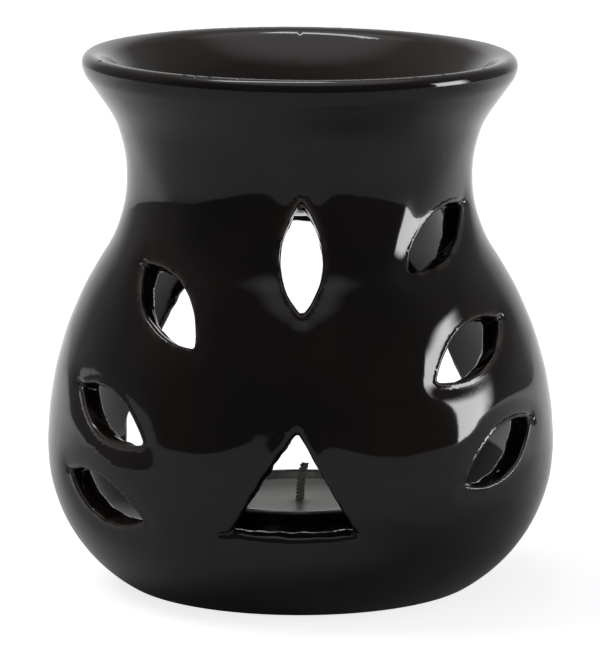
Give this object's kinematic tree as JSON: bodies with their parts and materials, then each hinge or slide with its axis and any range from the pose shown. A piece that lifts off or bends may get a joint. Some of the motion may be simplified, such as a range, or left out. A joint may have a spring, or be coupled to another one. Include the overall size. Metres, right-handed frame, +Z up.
{
  "type": "essential oil burner",
  "caption": "Round pierced ceramic oil burner with leaf cut-outs, a triangular window, a rear arch, a bowl in its neck and a tealight inside.",
  "frame": {"origin": "centre of the flat base, on the surface that the burner stands on", "axes": "+Z up, along the axis that the clay was thrown about; the triangular window faces -Y, and the rear arch faces +Y"},
  "size_m": [0.098, 0.0918, 0.1028],
  "materials": {
    "glazed_clay": "glossy black glaze over fired clay",
    "bowl_glaze": "glossy black glaze over fired clay",
    "slip": "glazed over fired slip",
    "cup_foil": "drawn thin sheet",
    "wax": "paraffin wax, slightly translucent",
    "wick_cotton": "waxed cotton braid",
    "tinplate": "stamped tinplate"
  },
  "bodies": {
    "burner": {"burner_body": "glazed_clay", "oil_bowl": "bowl_glaze", "slip_joint": "slip"},
    "cup": {"tealight_cup": "cup_foil"},
    "candle": {"tealight_wax": "wax", "tealight_wick": "wick_cotton", "wick_sustainer": "tinplate"}
  },
  "joints": [
    {"name": "tealight_draw_out", "type": "slide", "parent": "burner", "child": "cup", "axis": [0, 0.9763, 0.2164], "range_m": [0, 0.076]},
    {"name": "candle_lift", "type": "slide", "parent": "cup", "child": "candle", "axis": [0, 0, 1], "range_m": [0, 0.014]}
  ]
}
